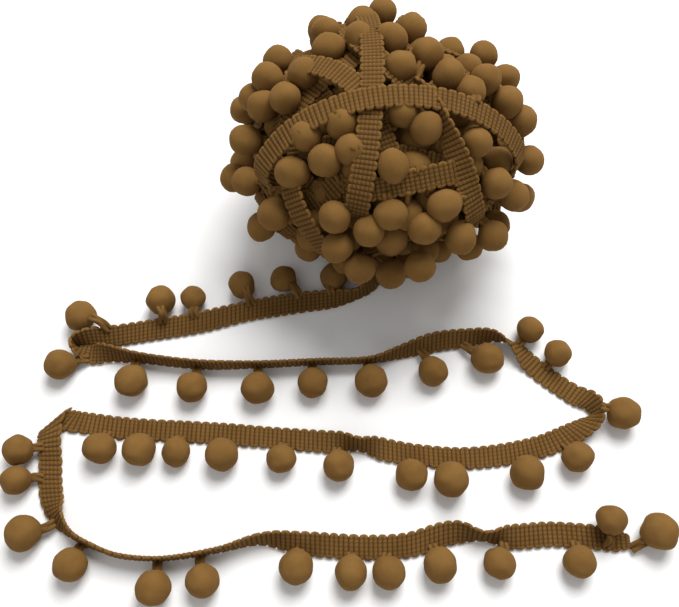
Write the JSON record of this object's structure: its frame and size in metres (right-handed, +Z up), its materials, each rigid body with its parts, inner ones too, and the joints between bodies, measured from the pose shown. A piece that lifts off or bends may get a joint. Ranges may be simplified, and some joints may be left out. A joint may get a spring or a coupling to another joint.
{
  "type": "pom pom trim",
  "caption": "Narrow woven trim with felted pompoms along one edge, wound into a ball, its loose end laid in rows in front.",
  "frame": {"origin": "middle of the flat spot under the ball, on the surface that the trim lies on", "axes": "+Z up, +X along the loose end's rows, the loose end lies towards -Y"},
  "size_m": [0.2061, 0.1898, 0.0733],
  "materials": {
    "ball": "matt brown wound trim",
    "tape": "matt brown ribbed weave",
    "pompom": "matt brown felted yarn"
  },
  "bodies": {
    "root": {"wound_ball": "ball", "tail_tape": "tape", "pom_01": "pompom", "pom_02": "pompom", "pom_03": "pompom", "pom_04": "pompom", "pom_05": "pompom", "pom_06": "pompom", "pom_07": "pompom", "pom_08": "pompom", "pom_09": "pompom", "pom_10": "pompom", "pom_11": "pompom", "pom_12": "pompom", "pom_13": "pompom", "pom_14": "pompom", "pom_15": "pompom", "pom_16": "pompom", "pom_17": "pompom", "pom_18": "pompom", "pom_19": "pompom", "pom_20": "pompom", "pom_21": "pompom", "pom_22": "pompom", "pom_23": "pompom", "pom_24": "pompom", "pom_25": "pompom", "pom_26": "pompom", "pom_27": "pompom", "pom_28": "pompom", "pom_29": "pompom", "pom_30": "pompom", "pom_31": "pompom", "pom_32": "pompom", "pom_33": "pompom", "pom_34": "pompom", "pom_35": "pompom", "pom_36": "pompom", "pom_37": "pompom", "pom_38": "pompom", "pom_39": "pompom", "pom_40": "pompom", "pom_41": "pompom"}
  },
  "joints": []
}
